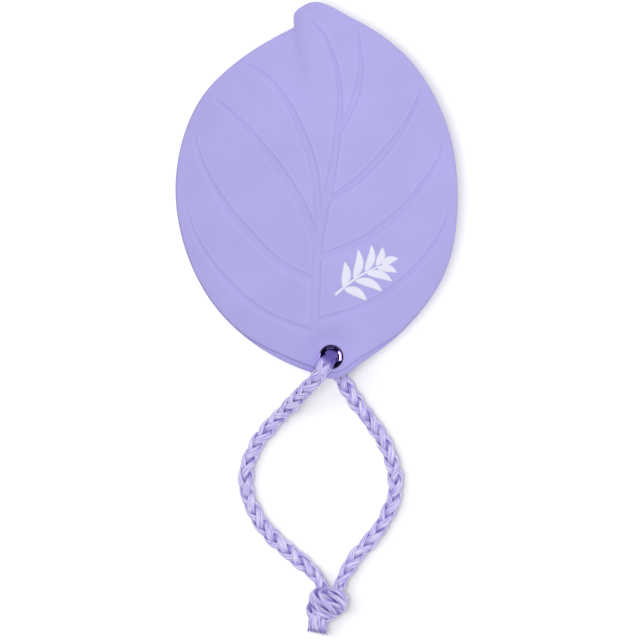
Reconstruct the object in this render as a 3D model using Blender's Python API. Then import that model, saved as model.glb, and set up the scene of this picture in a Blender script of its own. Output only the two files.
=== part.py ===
"""Leaf-shaped rubber curry comb with a braided hanging loop.

The comb lies on its teeth: +Z points up through the domed back, the leaf's tip points along +Y and
the loop trails along -Y. The origin is the middle of the comb's footprint, level with the tooth tips.
"""
import bpy
import bmesh
from math import acos, cos, degrees, pi, sin
from mathutils import Vector

MM = 0.001
GAP = 0.3 * MM                      # clearance kept between touching pieces

# Driving dimensions
LEAF_LENGTH = 120.0 * MM
LEAF_WIDTH = 90.0 * MM
TOOTH_HEIGHT = 8.0 * MM
PAD_THICKNESS = 3.0 * MM
DOME_RISE = 9.6 * MM                # cover's crown above its own underside
COVER_WALL = 3.2 * MM
CORD_DIAMETER = 5.0 * MM
BORE_RADIUS = 3.1 * MM              # inside of the eyelet
EYELET = Vector((4.5 * MM, -53.0 * MM, 0.0))

# Leaf
NOTCH_X = -7.4 * MM
OUTLINE_POINTS = 76
COVER_INSET = 0.965                 # cover's outline against the pad's
SHOULDER_RISE = 2.4 * MM            # height of the cover's shoulder
UPRIGHT_SHARE = 0.45                # how much of the shoulder stands upright
DOME_START = 0.99                   # the dome's first ring against the cover's outline
DOME_FULLNESS = 0.8                 # below 1 the dome is fuller than a paraboloid
CAVITY_SCALE = 0.78                 # hollow's outline against the pad's
DOME_RINGS = 7

# Pad and teeth
PAD_BOTTOM = TOOTH_HEIGHT
PAD_TOP = PAD_BOTTOM + PAD_THICKNESS
PAD_CHAMFER = 0.5 * MM
RIB_HEIGHT = 2.0 * MM
RIB_SCALE = 0.765                   # outside of the rib that locates the cover
RIB_INNER_SCALE = 0.725
TOOTH_ROWS = (0.88, 0.70, 0.52, 0.34, 0.17)
TOOTH_PITCH = 9.0 * MM
TOOTH_BASE_RADIUS = 2.3 * MM
TOOTH_TIP_RADIUS = 1.1 * MM
TOOTH_SIDES = 8
TOOTH_ROOT = 0.8 * MM               # how far a tooth is rooted in the pad
TOOTHLESS_RADIUS = 12.5 * MM        # bare ring round the eyelet

# Cover
COVER_BOTTOM = PAD_TOP + GAP
SEAT_HEIGHT = COVER_BOTTOM + 3.5 * MM
SEAT_RADIUS = 4.3 * MM
BOSS_RADIUS = 5.4 * MM              # raised ring that carries the eyelet's lip on the sloping edge

# Eyelet and its washer
BARREL_RADIUS = 3.5 * MM
LIP_RADIUS = 3.9 * MM
LIP_HEIGHT = 0.6 * MM
CLINCH_RADIUS = 3.9 * MM
CLINCH_HEIGHT = 0.5 * MM
WASHER_RADIUS = 4.9 * MM
WASHER_THICKNESS = 0.6 * MM
ROUND_STEPS = 28
HOLE_CUTTER_LENGTH = 40 * MM        # passes right through the comb

# Cord loop
CORD_RADIUS = CORD_DIAMETER / 2
KNOT_CENTRE = Vector((3.4 * MM, -131.4 * MM, 5.2 * MM))
KNOT_RADII = Vector((6.4 * MM, 5.5 * MM, 5.1 * MM))
SOCKET_RADIUS = CORD_RADIUS + GAP
SOCKET_CUTTER_LENGTH = 8 * MM
CURVE_STEP = 0.4 * MM
MAX_POINT_DISTANCE = 2.4 * CORD_DIAMETER
MAX_POINT_TURN = 17.0               # degrees

LILAC = (0.45, 0.42, 0.80)
LILAC_DEEP = (0.40, 0.37, 0.76)
CORD_LILAC = (0.43, 0.37, 0.78)
GUNMETAL = (0.10, 0.09, 0.14)


# ------------------------------------------------------------------ curves

def smooth_curve(knots, step):
    """Points every step or so along one smooth curve through the knots."""
    knots = [Vector(knot) for knot in knots]
    spans = [(b - a).length for a, b in zip(knots, knots[1:])]
    slopes = [(b - a) / span for a, b, span in zip(knots, knots[1:], spans)]
    tangents = [slopes[0]]
    for before, after, back, ahead in zip(slopes, slopes[1:], spans, spans[1:]):
        tangents.append((before * ahead + after * back) / (back + ahead))
    tangents.append(slopes[-1])
    points = []
    for index, span in enumerate(spans):
        count = max(2, round(span / step))
        for part in range(count):
            t = part / count
            points.append(knots[index] * (2 * t ** 3 - 3 * t ** 2 + 1)
                          + tangents[index] * (span * (t ** 3 - 2 * t ** 2 + t))
                          + knots[index + 1] * (3 * t ** 2 - 2 * t ** 3)
                          + tangents[index + 1] * (span * (t ** 3 - t ** 2)))
    points.append(knots[-1])
    return points


def evenly_spaced(points, count):
    """count points at equal distances along a path, without its last point."""
    lengths = [0.0]
    for a, b in zip(points, points[1:]):
        lengths.append(lengths[-1] + (b - a).length)
    result = []
    index = 0
    for number in range(count):
        wanted = lengths[-1] * number / count
        while lengths[index + 1] < wanted:
            index += 1
        share = (wanted - lengths[index]) / (lengths[index + 1] - lengths[index])
        result.append(points[index].lerp(points[index + 1], share))
    return result


def path_length(points):
    return sum((b - a).length for a, b in zip(points, points[1:]))


def leaf_outline():
    """The pad's outline, clockwise from the notch beside the tip back to the notch."""
    half_length = LEAF_LENGTH / 2
    half_width = LEAF_WIDTH / 2
    knots = (
        (NOTCH_X, 52.3 * MM),
        (-7.3 * MM, 56.6 * MM),
        (-3.0 * MM, half_length),
        (12.0 * MM, 54.9 * MM),
        (29.8 * MM, 41.8 * MM),
        (41.6 * MM, 21.0 * MM),
        (half_width, -2.0 * MM),
        (41.2 * MM, -25.4 * MM),
        (27.4 * MM, -44.8 * MM),
        (15.2 * MM, -54.3 * MM),
        (5.6 * MM, -half_length),
        (-3.8 * MM, -57.3 * MM),
        (-21.4 * MM, -47.9 * MM),
        (-31.6 * MM, -38.2 * MM),
        (-42.9 * MM, -16.0 * MM),
        (-half_width, 3.0 * MM),
        (-36.0 * MM, 31.2 * MM),
        (-25.3 * MM, 41.6 * MM),
        (-14.7 * MM, 48.5 * MM),
        (NOTCH_X, 52.3 * MM),
    )
    return smooth_curve([(x, y, 0.0) for x, y in knots], MM)


# ------------------------------------------------------------------ meshes

def material(name, colour, roughness, metallic=0.0):
    result = bpy.data.materials.new(name)
    result.use_nodes = True
    shader = result.node_tree.nodes["Principled BSDF"]
    shader.inputs["Base Color"].default_value = (*colour, 1.0)
    shader.inputs["Roughness"].default_value = roughness
    shader.inputs["Metallic"].default_value = metallic
    return result


def object_from_bmesh(name, bm, surface=None, sharp_angle=35.0):
    bmesh.ops.recalc_face_normals(bm, faces=bm.faces)
    mesh = bpy.data.meshes.new(name)
    bm.to_mesh(mesh)
    bm.free()
    mesh.shade_smooth()
    mesh.set_sharp_from_angle(angle=sharp_angle * pi / 180)
    result = bpy.data.objects.new(name, mesh)
    bpy.context.scene.collection.objects.link(result)
    if surface:
        mesh.materials.append(surface)
    return result


def leaf_loft(name, profile, surface):
    """A solid whose levels are scaled copies of the leaf's outline, as (scale, height) pairs.

    The first and the last pair have scale 0, where the solid closes in a single point.
    """
    outline = evenly_spaced(leaf_outline(), OUTLINE_POINTS)
    bm = bmesh.new()
    first = bm.verts.new((0.0, 0.0, profile[0][1]))
    last = bm.verts.new((0.0, 0.0, profile[-1][1]))
    rings = []
    for scale, height in profile[1:-1]:
        rings.append([bm.verts.new((p.x * scale, p.y * scale, height)) for p in outline])
    for side in range(OUTLINE_POINTS):
        following = (side + 1) % OUTLINE_POINTS
        bm.faces.new((first, rings[0][side], rings[0][following]))
        bm.faces.new((last, rings[-1][following], rings[-1][side]))
        for lower, upper in zip(rings, rings[1:]):
            bm.faces.new((lower[side], upper[side], upper[following], lower[following]))
    return object_from_bmesh(name, bm, surface)


def turned_ring(name, profile, surface):
    """A ring turned round the eyelet's axis from a closed outline of (radius, height) pairs."""
    bm = bmesh.new()
    corners = [bm.verts.new((EYELET.x + radius, EYELET.y, height)) for radius, height in profile]
    edges = [bm.edges.new((a, b)) for a, b in zip(corners, corners[1:] + corners[:1])]
    bmesh.ops.spin(bm, geom=corners + edges, cent=EYELET, axis=(0, 0, 1), angle=2 * pi,
                   steps=ROUND_STEPS, use_merge=True)
    return object_from_bmesh(name, bm, surface)


def cylinder_cutter(name, centre, direction, radius, depth):
    bm = bmesh.new()
    bmesh.ops.create_cone(bm, cap_ends=True, segments=ROUND_STEPS, radius1=radius, radius2=radius,
                          depth=depth)
    result = object_from_bmesh(name, bm)
    result.location = centre
    result.rotation_mode = 'QUATERNION'
    result.rotation_quaternion = Vector(direction).to_track_quat('Z', 'Y')
    result.hide_render = True
    result.display_type = 'WIRE'
    return result


def combine(target, other, operation):
    modifier = target.modifiers.new(other.name, 'BOOLEAN')
    modifier.operation = operation
    modifier.object = other
    return target


# ------------------------------------------------------------------ leaf cover

def dome_height(scale):
    """Height of the cover's outside above its underside, on the outline copy of this scale."""
    inward = 1.0 - (scale / COVER_INSET) ** 2
    return SHOULDER_RISE + (DOME_RISE - SHOULDER_RISE) * inward ** DOME_FULLNESS


def leaf_cover(surface):
    """The hollow domed back that the hand holds."""
    steps = [number / DOME_RINGS for number in range(DOME_RINGS + 1)]
    roof = [(CAVITY_SCALE * sin(step * pi / 2),
             COVER_BOTTOM + dome_height(CAVITY_SCALE * sin(step * pi / 2)) - COVER_WALL)
            for step in steps]
    mouth = [(CAVITY_SCALE, COVER_BOTTOM)]
    edge = [(COVER_INSET, COVER_BOTTOM), (COVER_INSET, COVER_BOTTOM + SHOULDER_RISE * UPRIGHT_SHARE)]
    dome_outline = COVER_INSET * DOME_START
    dome = [(dome_outline * cos(step * pi / 2),
             COVER_BOTTOM + dome_height(dome_outline * cos(step * pi / 2)))
            for step in steps]
    cover = leaf_loft("leaf_cover", roof + mouth + edge + dome, surface)
    boss = cylinder_cutter("eyelet_boss", EYELET + Vector((0, 0, (COVER_BOTTOM + SEAT_HEIGHT) / 2)),
                           (0, 0, 1), BOSS_RADIUS, SEAT_HEIGHT - COVER_BOTTOM - 2 * GAP)
    seat = cylinder_cutter("seat_cutter", EYELET + Vector((0, 0, SEAT_HEIGHT + 5 * MM)),
                           (0, 0, 1), SEAT_RADIUS, 10 * MM)
    hole = cylinder_cutter("cover_hole_cutter", EYELET + Vector((0, 0, COVER_BOTTOM)),
                           (0, 0, 1), BARREL_RADIUS + GAP, HOLE_CUTTER_LENGTH)
    combine(cover, boss, 'UNION')
    combine(cover, seat, 'DIFFERENCE')
    combine(cover, hole, 'DIFFERENCE')
    return cover


# ------------------------------------------------------------------ tooth pad

def tooth_positions():
    """Rows of teeth that follow the outline, alternate rows set half a pitch along."""
    outline = leaf_outline()
    positions = [Vector((0, 0, 0))]
    for row, scale in enumerate(TOOTH_ROWS):
        ring = [point * scale for point in outline]
        count = round(path_length(ring) / TOOTH_PITCH)
        spots = evenly_spaced(ring, count * 2)
        positions += spots[row % 2::2]
    return [spot for spot in positions if (spot - EYELET).length > TOOTHLESS_RADIUS]


def all_teeth():
    bm = bmesh.new()
    for spot in tooth_positions():
        cone = bmesh.ops.create_cone(bm, cap_ends=True, segments=TOOTH_SIDES,
                                     radius1=TOOTH_TIP_RADIUS, radius2=TOOTH_BASE_RADIUS,
                                     depth=TOOTH_HEIGHT + TOOTH_ROOT)
        lift = Vector((spot.x, spot.y, (TOOTH_HEIGHT + TOOTH_ROOT) / 2))
        bmesh.ops.translate(bm, verts=cone["verts"], vec=lift)
    result = object_from_bmesh("teeth", bm)
    result.hide_render = True
    result.display_type = 'WIRE'
    return result


def tooth_pad(surface):
    """The base plate with its teeth, and the rib that locates the cover's hollow."""
    profile = (
        (0.0, PAD_BOTTOM),
        (1.0 - 2 * PAD_CHAMFER / LEAF_LENGTH, PAD_BOTTOM),
        (1.0, PAD_BOTTOM + PAD_CHAMFER),
        (1.0, PAD_TOP - PAD_CHAMFER),
        (1.0 - 2 * PAD_CHAMFER / LEAF_LENGTH, PAD_TOP),
        (RIB_SCALE, PAD_TOP),
        (RIB_SCALE, PAD_TOP + RIB_HEIGHT),
        (RIB_INNER_SCALE, PAD_TOP + RIB_HEIGHT),
        (RIB_INNER_SCALE, PAD_TOP),
        (0.0, PAD_TOP),
    )
    pad = leaf_loft("tooth_pad", profile, surface)
    combine(pad, all_teeth(), 'UNION')
    hole = cylinder_cutter("pad_hole_cutter", EYELET + Vector((0, 0, PAD_BOTTOM)),
                           (0, 0, 1), BARREL_RADIUS + GAP, HOLE_CUTTER_LENGTH)
    combine(pad, hole, 'DIFFERENCE')
    return pad


# ------------------------------------------------------------------ eyelet and washer

def eyelet(surface):
    """The lining of the cord's hole, rolled outwards at both ends."""
    lip_bottom = SEAT_HEIGHT + GAP
    clinch_top = PAD_BOTTOM - 2 * GAP - WASHER_THICKNESS
    profile = (
        (BORE_RADIUS, clinch_top - CLINCH_HEIGHT * 0.6),
        (BORE_RADIUS + 0.2 * MM, clinch_top - CLINCH_HEIGHT),
        (CLINCH_RADIUS - 0.2 * MM, clinch_top - CLINCH_HEIGHT),
        (CLINCH_RADIUS, clinch_top - CLINCH_HEIGHT * 0.4),
        (CLINCH_RADIUS, clinch_top),
        (BARREL_RADIUS, clinch_top),
        (BARREL_RADIUS, lip_bottom),
        (LIP_RADIUS, lip_bottom),
        (LIP_RADIUS, lip_bottom + LIP_HEIGHT * 0.5),
        (LIP_RADIUS - 0.25 * MM, lip_bottom + LIP_HEIGHT),
        (BORE_RADIUS + 0.3 * MM, lip_bottom + LIP_HEIGHT * 0.9),
        (BORE_RADIUS, lip_bottom + LIP_HEIGHT * 0.3),
    )
    return turned_ring("eyelet", profile, surface)


def eyelet_washer(surface):
    """The ring under the pad that the eyelet is clinched over."""
    top = PAD_BOTTOM - GAP
    profile = (
        (BARREL_RADIUS + GAP, top - WASHER_THICKNESS),
        (WASHER_RADIUS - 0.2 * MM, top - WASHER_THICKNESS),
        (WASHER_RADIUS, top - WASHER_THICKNESS * 0.5),
        (WASHER_RADIUS, top),
        (BARREL_RADIUS + GAP, top),
    )
    return turned_ring("eyelet_washer", profile, surface)


# ------------------------------------------------------------------ cord loop

# The cord's route, in millimetres. Its two strands meet inside the bore, and each runs from there
# down to the ground and along it to the knot.
TOP_STRAND = (
    (4.5, -53.0, 12.25), (4.45, -53.05, 14.2), (4.27, -53.27, 15.7), (3.85, -53.76, 16.9),
    (3.1, -54.65, 17.95), (2.1, -56.1, 18.55), (1.1, -58.1, 18.5), (-0.5, -60.4, 17.1),
    (-2.75, -62.8, 14.4), (-5.2, -65.3, 11.2), (-7.8, -68.0, 8.0), (-11.1, -71.2, 4.8),
    (-14.9, -75.2, 3.0), (-20.1, -82.3, 2.55), (-22.8, -90.2, 2.55), (-22.1, -98.0, 2.55),
    (-18.4, -105.8, 2.55), (-13.8, -111.4, 2.6), (-7.9, -116.6, 2.9), (-2.4, -121.3, 3.6),
    (1.0, -125.2, 4.4),
)
UNDER_STRAND = (
    (4.5, -53.0, 11.75), (4.5, -53.05, 7.6), (4.75, -53.65, 5.1), (5.45, -55.3, 3.3),
    (6.55, -57.6, 2.65), (8.1, -60.6, 2.55), (11.7, -66.4, 2.55), (17.2, -73.8, 2.55),
    (21.4, -80.5, 2.55), (24.2, -87.2, 2.55), (25.2, -93.0, 2.55), (24.5, -99.2, 2.55),
    (21.5, -105.8, 2.55), (17.2, -111.8, 2.55), (12.4, -117.2, 2.9), (9.1, -122.4, 3.6),
    (7.3, -126.0, 4.2),
)
UPPER_TAIL = ((1.0, -136.0, 8.0), (0.6, -137.6, 8.0), (0.25, -139.6, 7.95), (0.1, -141.9, 7.9))
LOWER_TAIL = ((1.4, -136.4, 2.55), (0.9, -137.8, 2.55), (0.4, -139.4, 2.55), (0.0, -140.6, 2.55))


def route_points(route):
    """Points along the smooth route, closer together where it bends."""
    dense = smooth_curve([Vector(knot) * MM for knot in route], CURVE_STEP)
    chosen = [dense[0]]
    heading = (dense[1] - dense[0]).normalized()
    for point, following in zip(dense[1:-1], dense[2:]):
        ahead = (following - point).normalized()
        turn = degrees(acos(max(-1.0, min(1.0, heading.dot(ahead)))))
        distance = (point - chosen[-1]).length
        if turn > MAX_POINT_TURN or distance > MAX_POINT_DISTANCE:
            chosen.append(point)
            heading = ahead
    if (chosen[-1] - dense[-1]).length < CORD_RADIUS / 2:
        chosen.pop()
    chosen.append(dense[-1])
    return chosen


def cord_tube(name, route, surface):
    points = route_points(route)
    curve = bpy.data.curves.new(name, 'CURVE')
    curve.dimensions = '3D'
    curve.bevel_depth = CORD_RADIUS
    curve.bevel_resolution = 2
    curve.use_fill_caps = True
    spline = curve.splines.new('POLY')
    spline.points.add(len(points) - 1)
    for target, point in zip(spline.points, points):
        target.co = (*point, 1.0)
    curve.materials.append(surface)
    result = bpy.data.objects.new(name, curve)
    bpy.context.scene.collection.objects.link(result)
    return result


def end_of(route):
    """A route's last point and the direction in which the cord arrives there."""
    before, last = (Vector(knot) * MM for knot in route[-2:])
    return last, (last - before).normalized()


def start_of(route):
    return end_of(route[::-1])


def cord_knot(surface):
    """The knot's ball, with a shallow socket for each of the cord's four ends."""
    bm = bmesh.new()
    bmesh.ops.create_uvsphere(bm, u_segments=18, v_segments=12, radius=1.0)
    for vert in bm.verts:
        vert.co = Vector([c * r for c, r in zip(vert.co, KNOT_RADII)])
    ball = object_from_bmesh("cord_knot", bm, surface)
    ball.location = KNOT_CENTRE
    ends = {"top": end_of(TOP_STRAND), "under": end_of(UNDER_STRAND),
            "upper_tail": start_of(UPPER_TAIL), "lower_tail": start_of(LOWER_TAIL)}
    for label, (tip, inward) in ends.items():
        centre = tip + inward * (GAP - SOCKET_CUTTER_LENGTH / 2)
        cutter = cylinder_cutter(label + "_socket_cutter", centre, inward, SOCKET_RADIUS,
                                 SOCKET_CUTTER_LENGTH)
        combine(ball, cutter, 'DIFFERENCE')
    return ball


# ------------------------------------------------------------------ assembly

def hang_on(parent, *children):
    for child in children:
        child.parent = parent
        child.matrix_parent_inverse = parent.matrix_world.inverted()


def main():
    for old in list(bpy.data.objects):
        bpy.data.objects.remove(old, do_unlink=True)
    rubber = material("lilac_rubber", LILAC, 0.55)
    pad_rubber = material("tooth_rubber", LILAC_DEEP, 0.6)
    metal = material("dark_polished_metal", GUNMETAL, 0.18, 1.0)
    braid = material("lilac_braid", CORD_LILAC, 0.45)

    leaf_cover(rubber)
    tooth_pad(pad_rubber)
    eyelet(metal)
    eyelet_washer(metal)

    swivel = bpy.data.objects.new("loop_swing_axis", None)
    swivel.location = EYELET
    bpy.context.scene.collection.objects.link(swivel)
    loop = (
        cord_tube("cord_top_strand", TOP_STRAND, braid),
        cord_tube("cord_under_strand", UNDER_STRAND, braid),
        cord_knot(braid),
        cord_tube("cord_tail_upper", UPPER_TAIL, braid),
        cord_tube("cord_tail_lower", LOWER_TAIL, braid),
    )
    bpy.context.view_layer.update()
    hang_on(swivel, *loop)


main()
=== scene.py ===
"""Looks of the leaf-shaped curry comb: soft lilac rubber, a dark metal eyelet and a braided cord loop."""
from math import atan, cos, pi, radians, sin, sqrt

import bmesh
import bpy
import numpy as np
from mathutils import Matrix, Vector


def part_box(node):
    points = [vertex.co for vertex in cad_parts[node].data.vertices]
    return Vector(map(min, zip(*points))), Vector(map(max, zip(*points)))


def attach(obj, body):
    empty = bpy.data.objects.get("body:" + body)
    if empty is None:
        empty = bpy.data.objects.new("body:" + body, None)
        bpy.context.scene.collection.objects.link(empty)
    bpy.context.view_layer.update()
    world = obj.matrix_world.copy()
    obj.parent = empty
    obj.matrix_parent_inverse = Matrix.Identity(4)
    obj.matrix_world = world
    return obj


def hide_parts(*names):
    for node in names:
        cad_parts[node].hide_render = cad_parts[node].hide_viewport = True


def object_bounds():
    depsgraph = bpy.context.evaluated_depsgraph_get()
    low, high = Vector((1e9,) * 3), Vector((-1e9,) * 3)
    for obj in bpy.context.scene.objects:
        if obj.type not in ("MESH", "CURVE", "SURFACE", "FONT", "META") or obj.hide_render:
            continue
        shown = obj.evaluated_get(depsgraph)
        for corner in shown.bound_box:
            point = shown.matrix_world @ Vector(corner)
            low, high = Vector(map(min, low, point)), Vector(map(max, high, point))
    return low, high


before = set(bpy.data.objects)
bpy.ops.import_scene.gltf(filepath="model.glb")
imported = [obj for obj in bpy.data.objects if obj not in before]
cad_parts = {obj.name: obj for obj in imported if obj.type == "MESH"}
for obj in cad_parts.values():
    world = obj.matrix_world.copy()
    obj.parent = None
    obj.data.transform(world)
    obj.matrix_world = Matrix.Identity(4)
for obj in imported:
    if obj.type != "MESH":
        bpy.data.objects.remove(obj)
cad_low, cad_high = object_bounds()

MM = 0.001
COMB = "comb"
LOOP = "cord_loop"
FLOOR_GAP = 0.02 * MM  # the cord's threads stay this far above the floor


# ---------------- curves

def smooth_curve(knots, step):
    """Points every step or so along one smooth curve through the knots, as an array."""
    knots = np.array(knots, dtype=float)
    spans = np.linalg.norm(np.diff(knots, axis=0), axis=1)
    slopes = np.diff(knots, axis=0) / spans[:, None]
    back, ahead = spans[:-1, None], spans[1:, None]
    inner = (slopes[:-1] * ahead + slopes[1:] * back) / (back + ahead)
    tangents = np.vstack([slopes[:1], inner, slopes[-1:]])
    points = []
    for index, span in enumerate(spans):
        count = max(2, round(span / step))
        t = (np.arange(count) / count)[:, None]
        points.append(knots[index] * (2 * t ** 3 - 3 * t ** 2 + 1)
                      + tangents[index] * (span * (t ** 3 - 2 * t ** 2 + t))
                      + knots[index + 1] * (3 * t ** 2 - 2 * t ** 3)
                      + tangents[index + 1] * (span * (t ** 3 - t ** 2)))
    points.append(knots[-1:])
    return np.vstack(points)


def lengths_along(points):
    return np.concatenate([[0.0], np.cumsum(np.linalg.norm(np.diff(points, axis=0), axis=1))])


def at_lengths(wanted, along, points):
    """The points of a path at the wanted distances along it."""
    return np.stack([np.interp(wanted, along, points[:, axis]) for axis in range(3)], axis=-1)


def evenly_spaced(points, count):
    """count points at equal distances along a path, its two ends included."""
    along = lengths_along(points)
    return at_lengths(np.linspace(0.0, along[-1], count), along, points)


def flat_curve(knots, step):
    """A smooth curve at height 0 through knots given in millimetres."""
    return smooth_curve([(x * MM, y * MM, 0.0) for x, y in knots], step)


def circle(sides):
    """The angles of evenly spaced points on a full turn."""
    return np.arange(sides) * 2 * pi / sides


def unit(vectors):
    return vectors / np.maximum(np.linalg.norm(vectors, axis=-1, keepdims=True), 1e-12)


def smoothstep(low, high, value):
    t = np.clip((value - low) / (high - low), 0.0, 1.0)
    return t * t * (3 - 2 * t)


# ---------------- mesh helpers

def add_object(name, data):
    made = bpy.data.objects.new(name, data)
    bpy.context.scene.collection.objects.link(made)
    return made


def piece(name, verts, faces, material, body, slot, *replaced):
    """A new smooth-shaded piece that rides on a body and stands for the CAD nodes named."""
    mesh = bpy.data.meshes.new(name)
    mesh.from_pydata([tuple(v) for v in verts], [], faces)
    mesh.validate()
    mesh.shade_smooth()
    result = add_object(name, mesh)
    mesh.materials.append(material)
    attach(result, body)
    if replaced:
        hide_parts(*replaced)
    return result


def ring_faces(rings, sides, first=0, closed=False):
    """Quads between rings of vertices that are stored one after another."""
    ring = np.arange(rings if closed else rings - 1)
    ring, side = (grid.ravel() for grid in np.meshgrid(ring, np.arange(sides), indexing="ij"))
    after = (ring + 1) % rings
    beside = (side + 1) % sides
    quads = np.stack([ring * sides + side, ring * sides + beside,
                      after * sides + beside, after * sides + side], axis=1)
    return (quads + first).tolist()


def end_caps(rings, sides, first=0):
    """The two flat faces that close a tube's first and last rings."""
    last = first + (rings - 1) * sides
    return [list(range(first + sides - 1, first - 1, -1)), list(range(last, last + sides))]


def end_fans(rings, sides):
    """Triangles from the first and last rings to the two points stored after all the rings."""
    centre = rings * sides
    last = centre - sides
    faces = []
    for index in range(sides):
        after = (index + 1) % sides
        faces.append([centre, after, index])
        faces.append([centre + 1, last + index, last + after])
    return faces


def turned_rings(centre, profile, sides):
    """Level rings of vertices round an upright axis, one for each (radius, height) pair."""
    angle = circle(sides)
    return np.vstack([np.column_stack([centre[0] + radius * np.cos(angle),
                                       centre[1] + radius * np.sin(angle),
                                       np.full(sides, height)]) for radius, height in profile])


def tube_mesh(centres, across, upward, half_width, half_height, sides):
    """Vertices and faces of a closed tube with an oval section along a path."""
    angle = circle(sides)
    rings = (centres[:, None, :]
             + np.cos(angle)[None, :, None] * across[:, None, :] * half_width[:, None, None]
             + np.sin(angle)[None, :, None] * upward[:, None, :] * half_height[:, None, None])
    faces = ring_faces(len(centres), sides) + end_caps(len(centres), sides)
    return rings.reshape(-1, 3), faces


class Parts:
    """Collects several closed bodies into one mesh.

    Their texture coordinates run across a thread, along it, and from lit to deep shade.
    """

    def __init__(self):
        self.verts = []
        self.faces = []
        self.coords = []
        self.count = 0

    def add(self, verts, faces, coords):
        self.faces += [[index + self.count for index in face] for face in faces]
        self.verts.append(verts)
        self.coords.append(np.broadcast_to(coords, (len(verts), 3)))
        self.count += len(verts)

    def piece(self, name, material, body, slot, *replaced):
        result = piece(name, np.vstack(self.verts), self.faces, material, body, slot, *replaced)
        store_vectors(result.data, "strand", np.vstack(self.coords))
        return result


def store_vectors(mesh, name, values):
    layer = mesh.attributes.new(name, "FLOAT_VECTOR", "POINT")
    layer.data.foreach_set("vector", np.asarray(values, dtype=np.float32).ravel())


def store_floats(mesh, name, values):
    layer = mesh.attributes.new(name, "FLOAT", "POINT")
    layer.data.foreach_set("value", np.asarray(values, dtype=np.float32).ravel())


# ---------------- materials

class Nodes:
    """Short forms for building a material's node tree."""

    def __init__(self, name):
        self.material = bpy.data.materials.new(name)
        self.material.use_nodes = True
        self.tree = self.material.node_tree
        self.shader = self.tree.nodes["Principled BSDF"]

    def node(self, kind, **settings):
        """A new node, with its inputs and its own settings given by name."""
        made = self.tree.nodes.new(kind)
        for key, value in settings.items():
            if key in made.inputs:
                made.inputs[key].default_value = value
            else:
                setattr(made, key, value)
        return made

    def link(self, source, target):
        self.tree.links.new(source, target)

    def set(self, **values):
        """Gives the shader's inputs a constant each, or links them to another node's output."""
        for key, value in values.items():
            socket = self.shader.inputs[key.replace("_", " ")]
            if isinstance(value, bpy.types.NodeSocket):
                self.link(value, socket)
            else:
                socket.default_value = value

    def place(self):
        return self.node("ShaderNodeTexCoord").outputs["Object"]

    def attribute(self, name):
        return self.node("ShaderNodeAttribute", attribute_name=name)

    def noise(self, vector, scale, detail, roughness, stretch=None):
        """Noise over a vector, whose axes stretch may scale one by one."""
        if stretch:
            mapping = self.node("ShaderNodeMapping", Scale=stretch)
            self.link(vector, mapping.inputs["Vector"])
            vector = mapping.outputs["Vector"]
        made = self.node("ShaderNodeTexNoise", Scale=scale, Detail=detail, Roughness=roughness)
        self.link(vector, made.inputs["Vector"])
        return made.outputs["Fac"]

    def ramp(self, value, *stops):
        made = self.node("ShaderNodeValToRGB")
        while len(made.color_ramp.elements) < len(stops):
            made.color_ramp.elements.new(0.5)
        for element, (position, colour) in zip(made.color_ramp.elements, stops):
            element.position = position
            element.color = (*colour, 1.0)
        self.link(value, made.inputs["Fac"])
        return made.outputs["Color"]

    def mix(self, factor, first, colour):
        """Blends from the first node's colour to a fixed one."""
        made = self.node("ShaderNodeMix", data_type="RGBA")
        factor_socket, first_socket, second_socket = (made.inputs[index] for index in (0, 6, 7))
        self.link(factor, factor_socket)
        self.link(first, first_socket)
        second_socket.default_value = (*colour, 1.0)
        return made.outputs[2]

    def range(self, value, low, high, from_low=0.0, from_high=1.0):
        """Maps a value's span from_low to from_high onto low to high."""
        made = self.node("ShaderNodeMapRange", **{"From Min": from_low, "From Max": from_high,
                                                  "To Min": low, "To Max": high})
        self.link(value, made.inputs["Value"])
        return made.outputs["Result"]

    def bump(self, height, strength, distance, under=None):
        made = self.node("ShaderNodeBump", Strength=strength, Distance=distance)
        self.link(height, made.inputs["Height"])
        if under:
            self.link(under, made.inputs["Normal"])
        return made.outputs["Normal"]


def shade(colour, factor):
    return tuple(channel * factor for channel in colour)


def rubber_material(name, colour):
    """Soft-touch moulded rubber: faint mottling, a fine grain, painted shade in veins, painted highlights
    beside them, a paler band inside the edge.
    """
    nodes = Nodes(name)
    place = nodes.place()
    mottle = nodes.noise(place, scale=55.0, detail=4.0, roughness=0.6)
    speckle = nodes.noise(place, scale=900.0, detail=2.0, roughness=0.5)
    grain = nodes.noise(place, scale=3200.0, detail=2.0, roughness=0.6)
    painted_relief = nodes.attribute("painted_relief").outputs["Fac"]
    base = nodes.ramp(mottle, (0.32, shade(colour, 0.965)), (0.68, shade(colour, 1.03)))
    base = nodes.mix(nodes.range(speckle, 0.0, 0.10, 0.35, 0.65), base, shade(colour, 1.10))
    # painted shade where the relief attribute is below 0, a painted highlight where it is above 0
    base = nodes.mix(nodes.range(painted_relief, 0.0, 0.50, 0.0, -1.0), base, shade(colour, 0.80))
    base = nodes.mix(nodes.range(painted_relief, 0.0, 0.50, 0.0, 1.0), base, shade(colour, 1.12))
    fine = nodes.bump(grain, strength=0.22, distance=0.00006)
    nodes.set(Base_Color=base, Roughness=nodes.range(mottle, 0.56, 0.68),
              Normal=nodes.bump(mottle, strength=0.10, distance=0.0004, under=fine),
              Sheen_Weight=0.12, Sheen_Roughness=0.5, Specular_IOR_Level=0.35)
    return nodes.material


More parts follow.
